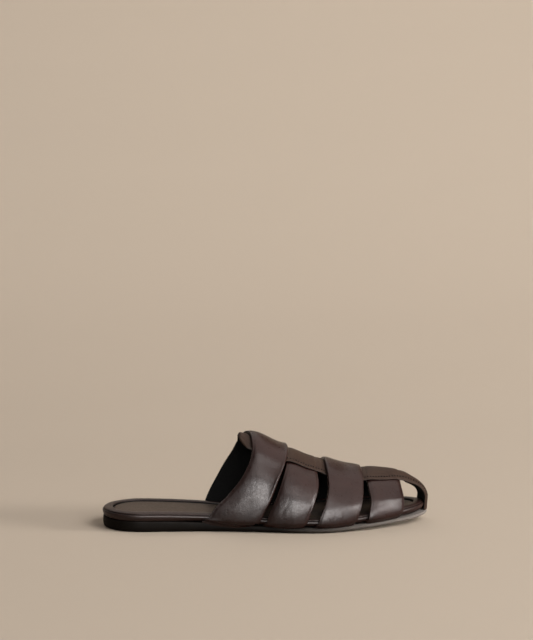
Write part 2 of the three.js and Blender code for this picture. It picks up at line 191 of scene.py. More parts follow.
# Top line of the foot form: height in instep heights, side shift in ball halves, fullness of the section
CREST = [
    {"along": 0.33, "height": 1.146, "shift": 0.0, "full": 2.0},
    {"along": 0.408, "height": 1.077, "shift": 0.012, "full": 2.0},
    {"along": 0.467, "height": 1.012, "shift": 0.024, "full": 2.0},
    {"along": 0.514, "height": 0.918, "shift": 0.048, "full": 2.0},
    {"along": 0.565, "height": 0.824, "shift": 0.072, "full": 2.0},
    {"along": 0.62, "height": 0.722, "shift": 0.096, "full": 1.94},
    {"along": 0.675, "height": 0.69, "shift": 0.12, "full": 1.88},
    {"along": 0.729, "height": 0.618, "shift": 0.133, "full": 1.83},
    {"along": 0.784, "height": 0.584, "shift": 0.145, "full": 1.79},
    {"along": 0.839, "height": 0.55, "shift": 0.157, "full": 1.75},
    {"along": 0.89, "height": 0.53, "shift": 0.169, "full": 1.75},
    {"along": 0.93, "height": 0.52, "shift": 0.176, "full": 1.75},
    {"along": 1.0, "height": 0.5, "shift": 0.193, "full": 1.75},
]

# Side profile of the sole from below: how far in from its edge, bevels added to that, share of its thickness
SOLE_EDGE = [
    {"step": 0, "inset": 1.0, "bevel": 1.5, "rise": 0.0},
    {"step": 1, "inset": 0.45, "bevel": 0.7, "rise": 0.07},
    {"step": 2, "inset": 0.12, "bevel": 0.25, "rise": 0.23},
    {"step": 3, "inset": 0.0, "bevel": 0.0, "rise": 0.45},
    {"step": 4, "inset": 0.0, "bevel": 0.1, "rise": 0.7},
    {"step": 5, "inset": 0.0, "bevel": 0.45, "rise": 0.9},
    {"step": 6, "inset": 0.0, "bevel": 1.0, "rise": 1.0},
]

# Rolled side of the footbed, its seam and its rim: how far in, the share of its thickness, and 1 where it
# takes near-black
# lining: the seam, a dark joint with painted shade in its groove, and the rim's inner wall, painted shade.
# The side is widest at the step named here.
WIDEST_STEP = 3
FOOTBED_ROLL = [
    {"step": 0, "inset": 4.2, "rise": 0.0, "dark": 0},
    {"step": 1, "inset": 2.0, "rise": 0.14, "dark": 0},
    {"step": 2, "inset": 0.6, "rise": 0.32, "dark": 0},
    {"step": 3, "inset": 0.0, "rise": 0.5, "dark": 0},
    {"step": 4, "inset": 0.1, "rise": 0.66, "dark": 0},
    {"step": 5, "inset": 0.55, "rise": 0.76, "dark": 0},
    {"step": 6, "inset": 1.3, "rise": 0.8, "dark": 1},
    {"step": 7, "inset": 0.95, "rise": 0.87, "dark": 0},
    {"step": 8, "inset": 1.7, "rise": 0.97, "dark": 0},
    {"step": 9, "inset": 3.6, "rise": 1.03, "dark": 0},
    {"step": 10, "inset": 6.0, "rise": 1.05, "dark": 0},
    {"step": 11, "inset": 7.5, "rise": 1.01, "dark": 0},
    {"step": 12, "inset": 8.1, "rise": 0.87, "dark": 1},
    {"step": 13, "inset": 8.35, "rise": 0.72, "dark": 1},
]

# Edge of the insole panel: how far in from the recess, height in panel thicknesses, and 1 where it takes the
# darker footbed leather as painted shade in the groove
INSOLE_EDGE = [
    {"step": 0, "inset": 1.4, "height": 0.0, "dark": 1},
    {"step": 1, "inset": 1.1, "height": 0.22, "dark": 1},
    {"step": 2, "inset": 1.2, "height": 0.42, "dark": 1},
    {"step": 3, "inset": 1.6, "height": 0.56, "dark": 0},
    {"step": 4, "inset": 2.6, "height": 0.6, "dark": 0},
]

# Back and front edge of each cross band in lengths; girth is degrees from the crest, inner side positive.
# A mirrored band lists one side, and its inner side slants back. Hang is how far its front hem sags, and
# the rims are its thickness in mm at the back and front edge on the crest.
BANDS = {
    "instep": {"over_long": True, "mirror": False, "hang": 2.0, "back_rim": 2.6, "front_rim": 5.0, "edges": [
        {"girth": -150, "back": 0.3, "front": 0.445},
        {"girth": -100, "back": 0.306, "front": 0.462},
        {"girth": -84, "back": 0.334, "front": 0.486},
        {"girth": -72, "back": 0.379, "front": 0.508},
        {"girth": -56, "back": 0.424, "front": 0.527},
        {"girth": -36, "back": 0.45, "front": 0.547},
        {"girth": -16, "back": 0.45, "front": 0.555},
        {"girth": 6, "back": 0.438, "front": 0.552},
        {"girth": 24, "back": 0.418, "front": 0.543},
        {"girth": 44, "back": 0.397, "front": 0.522},
        {"girth": 66, "back": 0.357, "front": 0.492},
        {"girth": 86, "back": 0.318, "front": 0.456},
        {"girth": 100, "back": 0.305, "front": 0.442},
        {"girth": 150, "back": 0.298, "front": 0.435},
    ]},
    "waist": {"over_long": False, "mirror": True, "hang": 0.8, "back_rim": 2.4, "front_rim": 2.4, "edges": [
        {"girth": 0, "back": 0.56, "front": 0.649},
        {"girth": 26, "back": 0.557, "front": 0.653},
        {"girth": 46, "back": 0.546, "front": 0.654},
        {"girth": 68, "back": 0.525, "front": 0.638},
        {"girth": 84, "back": 0.502, "front": 0.621},
        {"girth": 100, "back": 0.49, "front": 0.611},
        {"girth": 150, "back": 0.484, "front": 0.606},
    ]},
    "ball": {"over_long": True, "mirror": True, "hang": 0.0, "back_rim": 3.5, "front_rim": 3.3, "edges": [
        {"girth": 0, "back": 0.673, "front": 0.789},
        {"girth": 24, "back": 0.678, "front": 0.792},
        {"girth": 46, "back": 0.682, "front": 0.791},
        {"girth": 66, "back": 0.671, "front": 0.784},
        {"girth": 84, "back": 0.653, "front": 0.771},
        {"girth": 100, "back": 0.644, "front": 0.763},
        {"girth": 150, "back": 0.637, "front": 0.757},
    ]},
    "toe": {"over_long": False, "mirror": True, "hang": 0.0, "back_rim": 2.4, "front_rim": 2.4, "edges": [
        {"girth": 0, "back": 0.804, "front": 0.908},
        {"girth": 40, "back": 0.808, "front": 0.913},
        {"girth": 60, "back": 0.812, "front": 0.917},
        {"girth": 80, "back": 0.806, "front": 0.914},
        {"girth": 100, "back": 0.801, "front": 0.908},
        {"girth": 150, "back": 0.796, "front": 0.904},
    ]},
}

# Reach of the long band to each side of the crest in half widths of its middle, along in lengths
LONG_BAND = [
    {"along": 0.414, "outer": 0.3, "inner": 0.3},
    {"along": 0.42, "outer": 0.52, "inner": 0.62},
    {"along": 0.432, "outer": 0.74, "inner": 0.88},
    {"along": 0.449, "outer": 0.9, "inner": 1.0},
    {"along": 0.57, "outer": 1.2, "inner": 1.0},
    {"along": 0.7, "outer": 1.2, "inner": 1.0},
    {"along": 0.8, "outer": 1.1, "inner": 0.98},
    {"along": 0.86, "outer": 0.97, "inner": 0.95},
    {"along": 0.91, "outer": 0.68, "inner": 0.9},
    {"along": 0.96, "outer": 0.43, "inner": 0.82},
    {"along": 1.0, "outer": 0.28, "inner": 0.76},
]
LONG_BAND_BACK = LENGTH * LONG_BAND[0]["along"]

# Soft troughs (negative) and ridges of the bands: place, turn from the girth line in degrees, and half sizes
# and depth in mm
CREASES = {
    "instep": [
        {"girth": -55, "across": 0.55, "turn": 90, "long": 30, "wide": 6.5, "depth": 0.65},
        {"girth": -91, "across": 1.0, "turn": 90, "long": 20, "wide": 9.0, "depth": 1.2},
        {"girth": -84, "across": 0.0, "turn": 0, "long": 26, "wide": 10.0, "depth": -1.2},
        {"girth": -35, "across": 0.3, "turn": 70, "long": 11, "wide": 5.0, "depth": 0.08},
        {"girth": -46, "across": 0.7, "turn": 70, "long": 12, "wide": 4.0, "depth": -0.08},
        {"girth": -70, "across": 0.3, "turn": 62, "long": 10, "wide": 1.8, "depth": -0.05},
        {"girth": -76, "across": 0.62, "turn": 58, "long": 10, "wide": 1.8, "depth": -0.05},
        {"girth": -84, "across": 0.8, "turn": 64, "long": 9, "wide": 1.8, "depth": -0.05},
        {"girth": -94, "across": 0.45, "turn": 14, "long": 13, "wide": 2.6, "depth": -0.08},
        {"girth": -96, "across": 0.7, "turn": -8, "long": 11, "wide": 2.6, "depth": -0.08},
        {"girth": 57, "across": 0.5, "turn": 90, "long": 30, "wide": 6.0, "depth": 0.5},
        {"girth": 40, "across": 0.6, "turn": -70, "long": 12, "wide": 3.0, "depth": -0.2},
        {"girth": 72, "across": 0.4, "turn": -62, "long": 10, "wide": 1.6, "depth": -0.14},
        {"girth": 92, "across": 0.5, "turn": -10, "long": 12, "wide": 2.4, "depth": -0.3},
    ],
    "waist": [
        {"girth": -66, "across": 0.5, "turn": 90, "long": 24, "wide": 5.5, "depth": 0.35},
        {"girth": -46, "across": 0.45, "turn": 78, "long": 11, "wide": 3.0, "depth": -0.18},
        {"girth": -80, "across": 0.3, "turn": 12, "long": 9, "wide": 1.6, "depth": -0.1},
        {"girth": -96, "across": 0.5, "turn": 10, "long": 10, "wide": 2.0, "depth": -0.25},
        {"girth": 66, "across": 0.5, "turn": 90, "long": 24, "wide": 5.0, "depth": 0.4},
        {"girth": 48, "across": 0.5, "turn": -76, "long": 11, "wide": 3.0, "depth": -0.18},
        {"girth": 94, "across": 0.45, "turn": -6, "long": 10, "wide": 2.2, "depth": -0.25},
    ],
    "ball": [
        {"girth": -69, "across": 0.5, "turn": 90, "long": 26, "wide": 5.0, "depth": 0.35},
        {"girth": -28, "across": 0.4, "turn": 78, "long": 9, "wide": 1.9, "depth": -0.07},
        {"girth": -33, "across": 0.45, "turn": 80, "long": 10, "wide": 2.6, "depth": 0.05},
        {"girth": -78, "across": 0.36, "turn": 4, "long": 14, "wide": 1.0, "depth": -0.07},
        {"girth": -80, "across": 0.58, "turn": -4, "long": 13, "wide": 1.0, "depth": -0.06},
        {"girth": -96, "across": 0.7, "turn": -8, "long": 10, "wide": 2.0, "depth": -0.25},
        {"girth": 67, "across": 0.5, "turn": 90, "long": 26, "wide": 5.0, "depth": 0.35},
        {"girth": 34, "across": 0.5, "turn": -70, "long": 11, "wide": 2.6, "depth": -0.22},
        {"girth": 92, "across": 0.4, "turn": 6, "long": 11, "wide": 2.0, "depth": -0.25},
    ],
    "toe": [
        {"girth": -62, "across": 0.5, "turn": 90, "long": 22, "wide": 4.0, "depth": 0.35},
        {"girth": -96, "across": 0.55, "turn": 4, "long": 9, "wide": 2.2, "depth": -0.2},
        {"girth": 62, "across": 0.5, "turn": 90, "long": 22, "wide": 4.0, "depth": 0.35},
        {"girth": 94, "across": 0.5, "turn": -4, "long": 9, "wide": 2.2, "depth": -0.2},
    ],
}

# Both hems of each band are drawn in by a broad trough of this depth
HEM_TROUGHS = {"instep": -2.0, "waist": -1.6, "ball": -1.6, "toe": -1.5}
HEM_TROUGH = {"across": 0.5, "turn": 90, "long": 60, "wide": 14.0}
HEM_TROUGH_GIRTH = 116
for crossing, depth in HEM_TROUGHS.items():
    for side in (-1, 1):
        CREASES[crossing].append({"girth": side * HEM_TROUGH_GIRTH, "depth": depth, **HEM_TROUGH})

# Slow and fine unevenness of padded leather: height in mm, and for each of its two crossing waves the pace
# along the shoe, the pace around it and the start
UNEVEN = [
    {"height": 0.06, "first": (0.31, 0.07, 0.8), "second": (-0.13, 0.11, 0.0)},
    {"height": 0.025, "first": (0.83, -0.19, 2.1), "second": (0.41, 0.27, 1.2)},
]

# One stitch as a spindle, place along it and radius in mm
STITCH_PROFILE = [
    {"along": -0.55, "radius": 0.16},
    {"along": -0.4, "radius": 0.5},
    {"along": 0.0, "radius": 0.6},
    {"along": 0.4, "radius": 0.5},
    {"along": 0.55, "radius": 0.16},
]

# Sides of a stitch, its height to its width, how far it stands up, where a row starts, how many path steps
# before the end of the band it stops, and the small steps by which its directions are found
STITCH_SIDES = 6
STITCH_FLAT = 0.8
STITCH_RAISE = 0.1
STITCH_FROM = 0.5 * LENGTH
STITCH_STOP = 12
STEP_AHEAD = 0.4
STEP_ASIDE = 0.3

# Leathers and thread: ends of their mottled colour, roughness, pores to the metre, depth of the pores, coat
# and shine. The thread is near-black as painted shade of its stitch holes.
LEATHERS = {
    "upper_leather": {
        "dark": (0.0154, 0.0048, 0.0037), "light": (0.024, 0.0083, 0.0064),
        "rough": 0.31, "pores": 1500, "depth": 0.14, "coat": 0.04, "shine": 0.2,
    },
    "strap_leather": {
        "dark": (0.037, 0.0215, 0.0155), "light": (0.051, 0.031, 0.0225),
        "rough": 0.48, "pores": 1500, "depth": 0.25, "coat": 0.0, "shine": 0.07,
    },
    "footbed_leather": {
        "dark": (0.0215, 0.0097, 0.0077), "light": (0.0295, 0.014, 0.0113),
        "rough": 0.37, "pores": 1500, "depth": 0.22, "coat": 0.0, "shine": 0.18,
    },
    "insole_leather": {
        "dark": (0.054, 0.0345, 0.0225), "light": (0.072, 0.0475, 0.032),
        "rough": 0.55, "pores": 1300, "depth": 0.3, "coat": 0.0, "shine": 0.2,
    },
    "lining": {
        "dark": (0.0025, 0.0023, 0.002), "light": (0.0045, 0.004, 0.0036),
        "rough": 0.75, "pores": 1300, "depth": 0.3, "coat": 0.0, "shine": 0.06,
    },
    # Near-black thread: the stitches are real, their darkness is painted shade of the holes
    "thread_with_hole_shade": {
        "dark": (0.003, 0.002, 0.0017), "light": (0.006, 0.004, 0.003),
        "rough": 0.7, "pores": 2600, "depth": 0.3, "coat": 0.0, "shine": 0.1,
    },
}

# How far the roughness falls and rises about the value in the table, and the roughness of a coat
SMOOTHER = 0.07
ROUGHER = 0.09
COAT_ROUGH = 0.32

# Sole rubber: its own colour under the heel, painted light toward the toe where the edge turns to the lamps,
# where that painted light begins and is full, and its shine
SOLE_DARK = (0.0078, 0.0058, 0.0045)
SOLE_PAINTED_LIGHT = (0.192, 0.171, 0.157)
PAINTED_LIGHT_FROM = 0.53 * LENGTH
PAINTED_LIGHT_FULL = 0.98 * LENGTH
SOLE_SHINE = 0.03

# Sockets of a colour mix, which has several of the same name
MIX_FIRST = 6
MIX_SECOND = 7
MIX_RESULT = 2

# Paper of the stage and its sizes in metres: the floor runs to the sweep, which turns up into the wall
PAPER_COLOR = (0.545, 0.462, 0.376)
FLOOR_FRONT = -14.0
SWEEP_FROM = 1.0
SWEEP_RADIUS = 2.6
SWEEP_STEPS = 48
WALL_TOP = 5.0
WALL_HALF = 9.0

# Soft lights: place, size and aim in metres, and whether they add diffuse light, glossy light or both
SHOE = (0.0, 0.0, 0.03)
LIGHTS = {
    "low": {
        "place": (4.5, -0.9, 1.05), "size": (1.1, 0.7), "watts": 175,
        "color": (1.0, 0.97, 0.93), "aim": SHOE, "adds": "diffuse",
    },
    "key": {
        "place": (2.1, -1.3, 2.2), "size": (2.0, 1.8), "watts": 76,
        "color": (1.0, 0.98, 0.96), "aim": SHOE, "adds": "diffuse",
    },
    "gloss": {
        "place": (0.7, -3.1, 1.13), "size": (3.0, 0.78), "watts": 190,
        "color": (1.0, 0.985, 0.97), "aim": SHOE, "adds": "glossy",
    },
    "heel": {
        "place": (-0.28, -3.0, 0.54), "size": (0.5, 0.45), "watts": 42,
        "color": (1.0, 0.97, 0.94), "aim": SHOE, "adds": "glossy",
    },
    "side": {
        "place": (2.4, -1.7, 1.5), "size": (1.2, 1.0), "watts": 95,
        "color": (1.0, 0.97, 0.94), "aim": SHOE, "adds": "glossy",
    },
    "toe": {
        "place": (2.9, -1.1, 0.8), "size": (0.8, 1.5), "watts": 52,
        "color": (1.0, 0.97, 0.94), "aim": SHOE, "adds": "glossy",
    },
    "brow": {
        "place": (0.4, -1.95, 2.3), "size": (1.8, 0.9), "watts": 40,
        "color": (1.0, 0.97, 0.94), "aim": SHOE, "adds": "glossy",
    },
    "over": {
        "place": (0.7, 0.0, 2.65), "size": (3.2, 3.4), "watts": 64,
        "color": (1.0, 0.86, 0.8), "aim": SHOE, "adds": "glossy",
    },
    "back": {
        "place": (-0.6, 2.0, 2.4), "size": (3.4, 2.0), "watts": 19,
        "color": (1.0, 0.98, 0.96), "aim": SHOE, "adds": "both",
    },
    "wall": {
        "place": (0.8, 1.0, 1.5), "size": (3.6, 1.2), "watts": 8.8,
        "color": (1.0, 0.98, 0.96), "aim": (0.8, 2.0, 1.0), "adds": "both",
    },
}

# Even light of the room
ROOM_COLOR = (1.0, 0.92, 0.84)
ROOM_LIGHT = 0.17


# Smooth values of one column of a table at places along another column
def column(rows, key, place, value):
    keys = np.array([row[key] for row in rows], float)
    values = np.array([row[value] for row in rows], float)
    slopes = np.empty_like(values)
    slopes[1:-1] = (values[2:] - values[:-2]) / (keys[2:] - keys[:-2])
    slopes[0] = (values[1] - values[0]) / (keys[1] - keys[0])
    slopes[-1] = (values[-1] - values[-2]) / (keys[-1] - keys[-2])
    place = np.asarray(place, float)
    i = np.clip(np.searchsorted(keys, place, side="right") - 1, 0, len(keys) - 2)
    span = keys[i + 1] - keys[i]
    t = np.clip((place - keys[i]) / span, 0, 1)
    rise = t * t * (3 - 2 * t)
    lead = t * (1 - t) ** 2 * span * slopes[i]
    trail = t * t * (t - 1) * span * slopes[i + 1]
    return values[i] + (values[i + 1] - values[i]) * rise + lead + trail


# Goes smoothly from 0 to 1 between two places
def ease(start, end, place):
    t = np.clip((np.asarray(place, float) - start) / (end - start), 0, 1)
    return t * t * (3 - 2 * t)


# Sideways shift of the middle line toward the big toe
def swing(x):
    return TOE_SWING * np.maximum((x - SWING_FROM) / (LENGTH - SWING_FROM), 0) ** TOE_GROWTH


# Share of the width left by the rounded heel and toe
def rounding(x):
    heel = np.maximum(1 - x / HEEL_ROUND, 0)
    toe = np.maximum((x - LENGTH + TOE_ROUND) / TOE_ROUND, 0)
    return np.sqrt(np.maximum(1 - heel**2, 0)) * np.sqrt(np.maximum(1 - toe**2, 0))


# Values of the outer column of a table where side is negative, and of its inner column elsewhere
def by_side(rows, x, side):
    outer = column(rows, "along", x / LENGTH, "outer")
    inner = column(rows, "along", x / LENGTH, "inner")
    return np.where(side < 0, outer, inner)


# Edge of the sole in plan; side is -1 for the outer side and 1 for the inner side
def sole_edge(x, side):
    return swing(x) + side * BALL_HALF * by_side(SOLE_PLAN, x, side) * rounding(x)


def sole_bottom(x):
    return TOE_SPRING * np.maximum((x - SPRING_FROM) / (LENGTH - SPRING_FROM), 0) ** TOE_GROWTH


def sole_thick(x):
    return HEEL_THICK * column(SOLE_DEPTH, "along", x / LENGTH, "thick")


def sole_top(x):
    return sole_bottom(x) + sole_thick(x)


# Thickness of the sole that shows below the rolled side of the footbed
def sole_shown(x):
    return sole_thick(x) * column(SOLE_DEPTH, "along", x / LENGTH, "shown")


def footbed_inset(x):
    return column(SOLE_DEPTH, "along", x / LENGTH, "inset")


# Height of the top line of the foot form, rounded down over the toe
def crest_height(x):
    level = INSTEP_HEIGHT * column(CREST, "along", x / LENGTH, "height")
    toe = np.clip((x - CAP_BACK) / (CAP_FRONT - CAP_BACK), 0, 1)
    return CAP_HEIGHT + (level - CAP_HEIGHT) * np.sqrt(1 - toe**2)


def crest_shift(x):
    return BALL_HALF * column(CREST, "along", x / LENGTH, "shift")


# Half width of the foot form on one side of its top line
def form_half(x, side):
    edge = sole_edge(x, side) - side * footbed_inset(x)
    return side * (edge - crest_shift(x)) + GAP + SIDE_BULGE


# Points of the foot form at places along it and girth angles; below the widest line it turns in
def form_point(x, girth):
    x, girth = np.broadcast_arrays(np.asarray(x, float), np.asarray(girth, float))
    side = np.where(girth < 0, -1.0, 1.0)
    low = sole_top(x) + GAP
    power = 2 / column(CREST, "along", x / LENGTH, "full")
    angle = np.radians(np.minimum(np.abs(girth), WIDEST_GIRTH))
    under = np.radians(np.maximum(np.abs(girth) - WIDEST_GIRTH, 0) * UNDER_TURN)
    out = form_half(x, side) * np.sin(angle) ** power - HEM_TUCK * (1 - np.cos(under))
    up = (crest_height(x) - low - WIDEST) * np.maximum(np.cos(angle), 0) ** power
    return np.stack([x, crest_shift(x) + side * out, low + WIDEST + up - WIDEST * np.sin(under)], -1)


# Outward directions of the foot form
def form_normal(x, girth):
    step = 0.6
    along = form_point(x + step, girth) - form_point(x - step, girth)
    around = form_point(x, girth + step) - form_point(x, girth - step)
    normal = np.cross(along, around)
    return normal / np.linalg.norm(normal, axis=-1, keepdims=True)


# Reach of the long band to one side of the crest
def long_half(x, side):
    return 0.5 * LONG_BAND_WIDTH * by_side(LONG_BAND, x, side)


# Thickness of the long band over its own width
def long_thick(across):
    return LONG_BAND_EDGE + (LONG_BAND_THICK - LONG_BAND_EDGE) * (1 - np.minimum(across**2, 1))


# Thickness of a cross band over its own width, full in the middle and thinner toward the hems
def band_thick(band, across, girth):
    middle = np.maximum(1 - (2 * across - 1) ** 2, 0)
    hem = 1 - HEM_THIN * ease(*THIN_GIRTH, np.abs(girth))
    crest_rim = band["back_rim"] + (band["front_rim"] - band["back_rim"]) * across
    rim = crest_rim + (HEM_RIM - crest_rim) * ease(*RIM_GIRTH, np.abs(girth))
    return (rim + (BAND_THICK - rim) * middle**FULLNESS) * hem


# Rise of a cross band where it lies over the long band
def band_lift(x, girth):
    half = long_half(x, girth)
    out = np.abs(form_point(x, girth)[..., 1] - crest_shift(x))
    return (long_thick(out / half) - FUSE) * (1 - ease(half, half + LIFT_FADE, out))


# Back or front edge of a cross band at girth angles
def band_edge(band, girth, edge):
    if not band["mirror"]:
        return LENGTH * column(band["edges"], "girth", girth, edge)
    there = LENGTH * column(band["edges"], "girth", np.abs(girth), edge)
    return there - INNER_SLANT * ease(*SLANT_GIRTH, girth)


# Height of the listed creases of one band
def crease_height(name, girth, across, width):
    height = np.zeros(np.broadcast(girth, across).shape)
    for row in CREASES[name]:
        turn = math.radians(row["turn"])
        around = (girth - row["girth"]) * GIRTH_MM
        over = (across - row["across"]) * width
        along = around * math.cos(turn) + over * math.sin(turn)
        aside = over * math.cos(turn) - around * math.sin(turn)
        height = height + row["depth"] * np.exp(-((along / row["long"]) ** 2) - (aside / row["wide"]) ** 2)
    return height


# One wave of the unevenness
def wave(x, girth, paces):
    along, around, start = paces
    return np.sin(along * x + around * girth + start)


# Unevenness of padded leather, in mm
def unevenness(x, girth):
    height = 0
    for row in UNEVEN:
        height = height + row["height"] * (wave(x, girth, row["first"]) * wave(x, girth, row["second"]))
    return height


# Where the middle line of the heel lies in the frame: the outer side of the sole reaches the frame's lowest y
plan_x = np.linspace(0, LENGTH, PLAN_STEPS)
HEEL_LINE = sole_low.y - MM * float(sole_edge(plan_x, -1).min())


# Moves shoe millimetres into the frame, in metres
def to_frame(points):
    origin = np.array([sole_low.x, HEEL_LINE, sole_low.z])
    return np.asarray(points).reshape(-1, 3) * MM + origin


# Adds a piece made of points and faces, with a mark for each face's material; sharp bends stay crisp
def add_piece(name, points, faces, materials, marks=None):
    mesh = bpy.data.meshes.new(name)
    mesh.from_pydata(to_frame(points).tolist(), [], faces)
    for material in materials:
        mesh.materials.append(material)
    if marks is not None:
        mesh.polygons.foreach_set("material_index", marks)
    form = bmesh.new()
    form.from_mesh(mesh)
    bmesh.ops.recalc_face_normals(form, faces=form.faces)
    for face in form.faces:
        face.smooth = True
    for edge in form.edges:
        if len(edge.link_faces) == 2 and edge.calc_face_angle() > math.radians(CRISP_BEND):
            edge.smooth = False
    form.to_mesh(mesh)
    form.free()
    piece = bpy.data.objects.new(name, mesh)
    bpy.context.collection.objects.link(piece)
    return piece


# Quads between neighbouring sections of a closed ring, with ladder caps at both ends
def swept_faces(sections, count, start):
    faces = []
    for section in range(sections - 1):
        row = start + section * count
        for place in range(count):
            here = row + place
            after = row + (place + 1) % count
            faces.append((here, after, after + count, here + count))
    end = start + (sections - 1) * count
    for low in range(count // 2 - 1):
        high = count - 1 - low
        faces.append((start + low, start + high, start + high - 1, start + low + 1))
        faces.append((end + low, end + low + 1, end + high - 1, end + high))
    return faces


# Quads between stacked rings, with strips across the first and the last one
def ring_faces(rings, count):
    faces = []
    for ring in range(rings - 1):
        row = ring * count
        for place in range(count):
            here = row + place
            after = row + (place + 1) % count
            faces.append((here, after, after + count, here + count))
    top = (rings - 1) * count
    for place in range(count // 2):
        corners = [place, (count - place) % count, count - place - 1, place + 1]
        strip = list(dict.fromkeys(corners))
        faces.append(tuple(strip))
        faces.append(tuple(top + corner for corner in reversed(strip)))
    return faces


# Plan of the sole as a ring, outer side from heel to toe and back along the inner side
def plan_ring():
    steps = np.arange(OUTLINE_STEPS)
    out_x = LENGTH / 2 * (1 - np.cos(np.pi * steps / OUTLINE_STEPS))
    back_x = LENGTH / 2 * (1 - np.cos(np.pi * (OUTLINE_STEPS - steps) / OUTLINE_STEPS))
    outer = np.stack([out_x, sole_edge(out_x, -1)], -1)
    inner = np.stack([back_x, sole_edge(back_x, 1)], -1)
    return np.concatenate([outer, inner])


PLAN = plan_ring()
along_plan = np.roll(PLAN, -1, 0) - np.roll(PLAN, 1, 0)
along_plan /= np.linalg.norm(along_plan, axis=1, keepdims=True)
INWARD = np.stack([-along_plan[:, 1], along_plan[:, 0]], -1)


# One ring drawn in from the edge of the sole, with its heights
def level_ring(inset, height):
    flat = PLAN + INWARD * np.asarray(inset).reshape(-1, 1)
    x = np.clip(flat[:, 0], 0, LENGTH)
    return np.column_stack([flat, height(x)])


# Finely divided steps of a profile table
def profile_steps(rows, per_step):
    return np.linspace(0, len(rows) - 1, (len(rows) - 1) * per_step + 1)


# Material marks of a piece made of rings: 1 where its profile table paints shade
def ring_marks(rows, steps, faces):
    middles = (steps[1:] + steps[:-1]) / 2
    dark = column(rows, "step", middles, "dark") > 0.5
    marks = np.repeat(dark, len(PLAN)).astype(int).tolist()
    return marks + [0] * (len(faces) - len(marks))


# Closed ring of one band section: share across, reach of the round edge, share of the skin, and 1 where it is
# lining. An edge is lined up to a share of the skin, which on the long band reaches past the real lining as
# painted shadow.
def section_ring(across_count, lined):
    across = np.linspace(0, 1, across_count)
    angle = np.linspace(-90, 90, NOSE_STEPS + 2)[1:-1] * math.pi / 180
    inner = [(share, 0.0, 0.0, 1) for share in across]
    reach = np.cos(angle) ** NOSE_POWER
    level = 0.5 + 0.5 * np.sign(angle) * np.abs(np.sin(angle)) ** NOSE_POWER
    front = [(1.0, out, skin, int(skin < lined)) for out, skin in zip(reach, level)]
    outer = [(share, 0.0, 1.0, 0) for share in across[::-1]]
    back = [(0.0, -out, skin, int(skin < lined)) for out, skin in zip(reach[::-1], level[::-1])]
    columns = np.array(inner + front + outer + back).T
    return dict(zip(("across", "nose", "skin", "lining"), columns))


# Keeps hems that reach over the sole resting on its top
def rest_on_sole(points):
    x = np.clip(points[..., 0], 0, LENGTH)
    past_outer = points[..., 1] > sole_edge(x, -1) + SOLE_MARGIN
    before_inner = points[..., 1] < sole_edge(x, 1) - SOLE_MARGIN
    floor = sole_top(x) + HEM_REST
    points[..., 2] = np.where(past_outer & before_inner, np.maximum(points[..., 2], floor), points[..., 2])
    return points


# One cross band from hem to hem, as points by girth step and ring place
def cross_band(name, ring):
    band = BANDS[name]
    girth = np.linspace(-HEM_GIRTH, HEM_GIRTH, BAND_STEPS + 1)[:, None]
    back = band_edge(band, girth, "back")
    front = band_edge(band, girth, "front")
    across = ring["across"]
    x = back + BAND_NOSE + across * (front - back - 2 * BAND_NOSE) + BAND_NOSE * ring["nose"]
    skin = ring["skin"]
    lift = band_lift(x, girth) if band["over_long"] else 0.0
    bump = crease_height(name, girth, across, front - back) + unevenness(x, girth)
    height = lift + skin * (band_thick(band, across, girth) + bump)
    points = form_point(x, girth) + form_normal(x, girth) * height[..., None]
    sag = band["hang"] * ease(*SAG_GIRTH, np.abs(girth)) * skin * ease(*SAG_ACROSS, across)
    points[..., 2] -= sag
    return rest_on_sole(points)


# Rise of the long band where it lies over the waist and toe bands
def long_lift(x):
    lift = np.zeros_like(x)
    for band in BANDS.values():
        if band["over_long"]:
            continue
        back = float(band_edge(band, 0.0, "back"))
        front = float(band_edge(band, 0.0, "front"))
        across = np.clip((x - back) / (front - back), 0, 1)
        share = ease(back - LIFT_BEFORE, back, x) * (1 - ease(front, front + LIFT_AFTER, x))
        lift = np.maximum(lift, (band_thick(band, across, 0.0) - FUSE) * share)
    return lift


# Path of the long band over the crest, around the toe and down to the sole: its places and its directions
def long_path():
    straight = LONG_BAND_BACK + (CAP_BACK - LONG_BAND_BACK) * np.arange(LONG_STEPS) / LONG_STEPS
    cap = CAP_BACK + (CAP_FRONT - CAP_BACK) * np.sin(0.5 * np.pi * np.arange(CAP_STEPS) / CAP_STEPS)
    x = np.concatenate([straight, cap])
    down = np.linspace(0, 1, FOOT_STEPS)
    foot = sole_bottom(CAP_FRONT) + sole_shown(CAP_FRONT) + HEM_REST
    foot_z = CAP_HEIGHT + (foot - CAP_HEIGHT) * down
    path_x = np.concatenate([x, CAP_FRONT - FOOT_LEAN * down])
    path_z = np.concatenate([crest_height(x), foot_z])
    dx = np.gradient(path_x)
    dz = np.gradient(path_z)
    size = np.hypot(dx, dz)
    return path_x, path_z, dx / size, dz / size


# How far the foot form, grown by a lift, falls away to the side of its top line
def side_drop(x, out, lift):
    half = form_half(x, np.where(out < 0, -1.0, 1.0)) + lift
    full = column(CREST, "along", x / LENGTH, "full")
    rise = crest_height(x) - sole_top(x) - GAP - WIDEST + lift
    return rise * (1 - (1 - np.minimum(np.abs(out) / half, 1) ** full) ** (1 / full))


